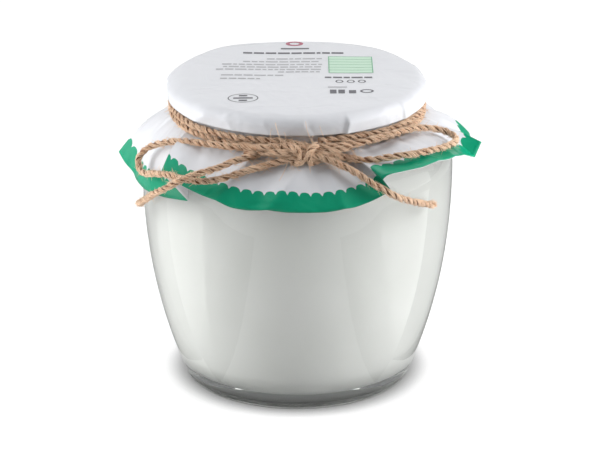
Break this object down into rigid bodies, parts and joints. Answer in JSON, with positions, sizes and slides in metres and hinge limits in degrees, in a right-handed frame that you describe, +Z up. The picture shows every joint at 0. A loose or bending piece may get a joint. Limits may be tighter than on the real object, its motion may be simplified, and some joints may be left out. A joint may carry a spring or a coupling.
{
  "type": "jar of yogurt",
  "caption": "Shut round-bellied glass jar filled with white yogurt, its lid wrapped in a scalloped paper cover that flares as a pleated skirt and is tied with jute twine in a loose bow.",
  "frame": {"origin": "on the jar's axis, at the level it stands on", "axes": "+Z up; the bow and knot are at the front, -Y; +X to the right seen from the front"},
  "size_m": [0.1186, 0.114, 0.1024],
  "materials": {
    "glass": "smooth clear glass",
    "yogurt": "smooth, slightly glossy, white",
    "paper": "thin white paper with a satin sheen",
    "jute": "hairy natural twine"
  },
  "bodies": {
    "root": {"jar": "glass", "yogurt": "yogurt", "paper_cover": "paper", "twine_turns": "jute", "knot": "jute", "loop_left": "jute", "loop_right": "jute", "tail_left": "jute", "tail_right": "jute"}
  },
  "joints": []
}
